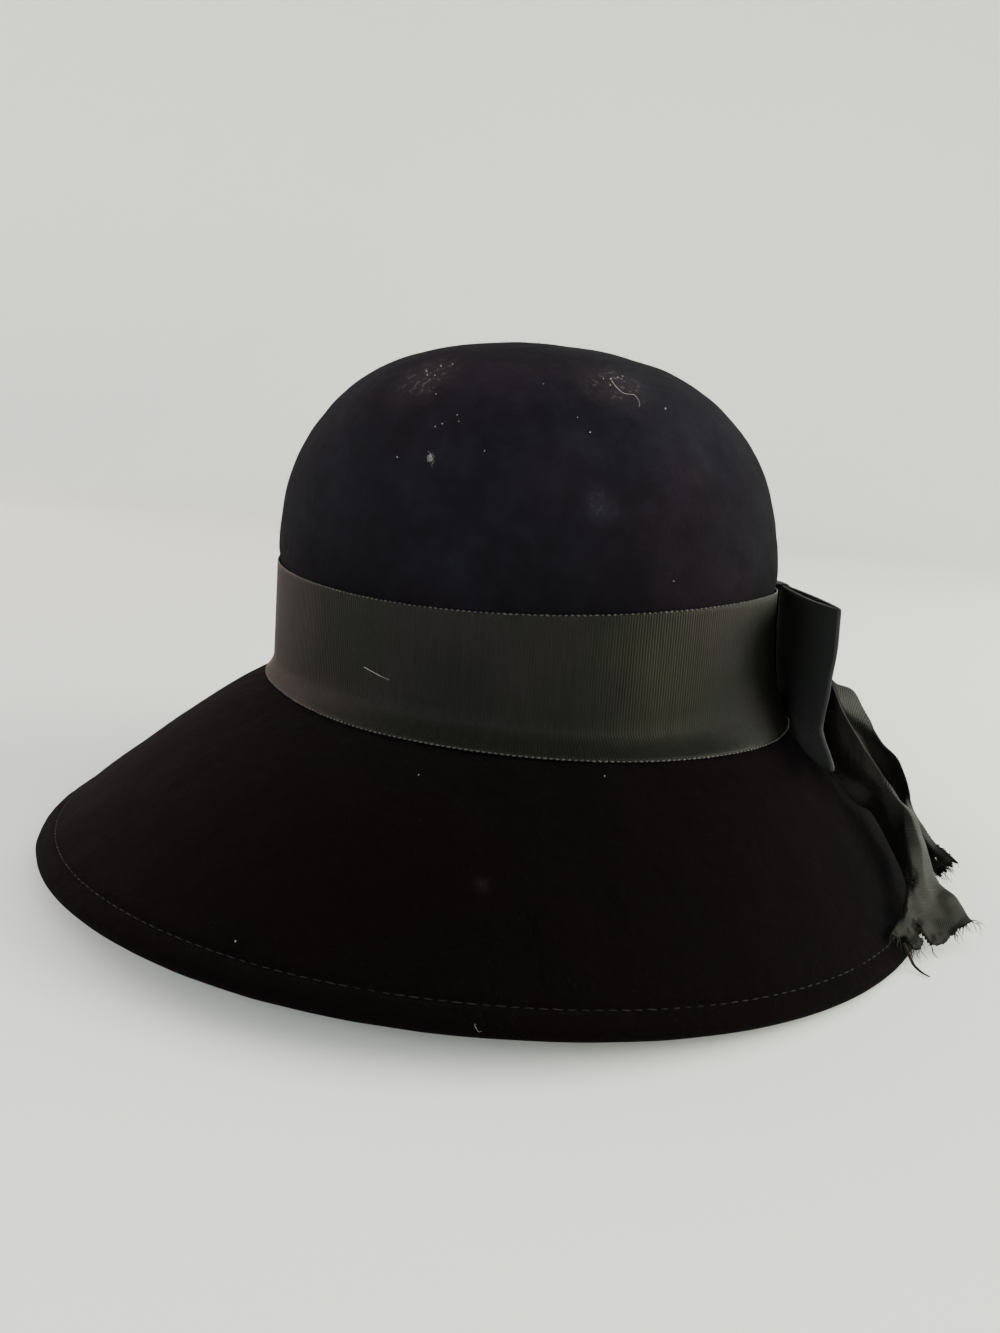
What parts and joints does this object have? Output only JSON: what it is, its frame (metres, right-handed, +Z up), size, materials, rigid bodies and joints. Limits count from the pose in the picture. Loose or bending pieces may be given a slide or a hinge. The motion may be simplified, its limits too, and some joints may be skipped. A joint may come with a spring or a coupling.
{
  "type": "wide-brim hat",
  "caption": "Felt hat with a tall rounded crown, a steep down-sloping hemmed brim, a wide ribbed ribbon band, and a flat bow with frayed tails at the back.",
  "frame": {"origin": "bottom centre of the bounding box, on the surface the brim rests on", "axes": "+Z up through the crown, -Y towards the front of the hat, +Y towards the back where the bow is, +X towards the wearer's left"},
  "size_m": [0.359, 0.3552, 0.1917],
  "materials": {
    "felt": "dry napped wool felt",
    "grosgrain": "ribbed ribbon with a soft sheen"
  },
  "bodies": {
    "root": {"felt_crown": "felt", "felt_brim": "felt", "band": "grosgrain", "knot": "grosgrain", "near_loop": "grosgrain", "far_loop": "grosgrain", "near_tail": "grosgrain", "far_tail": "grosgrain"}
  },
  "joints": []
}
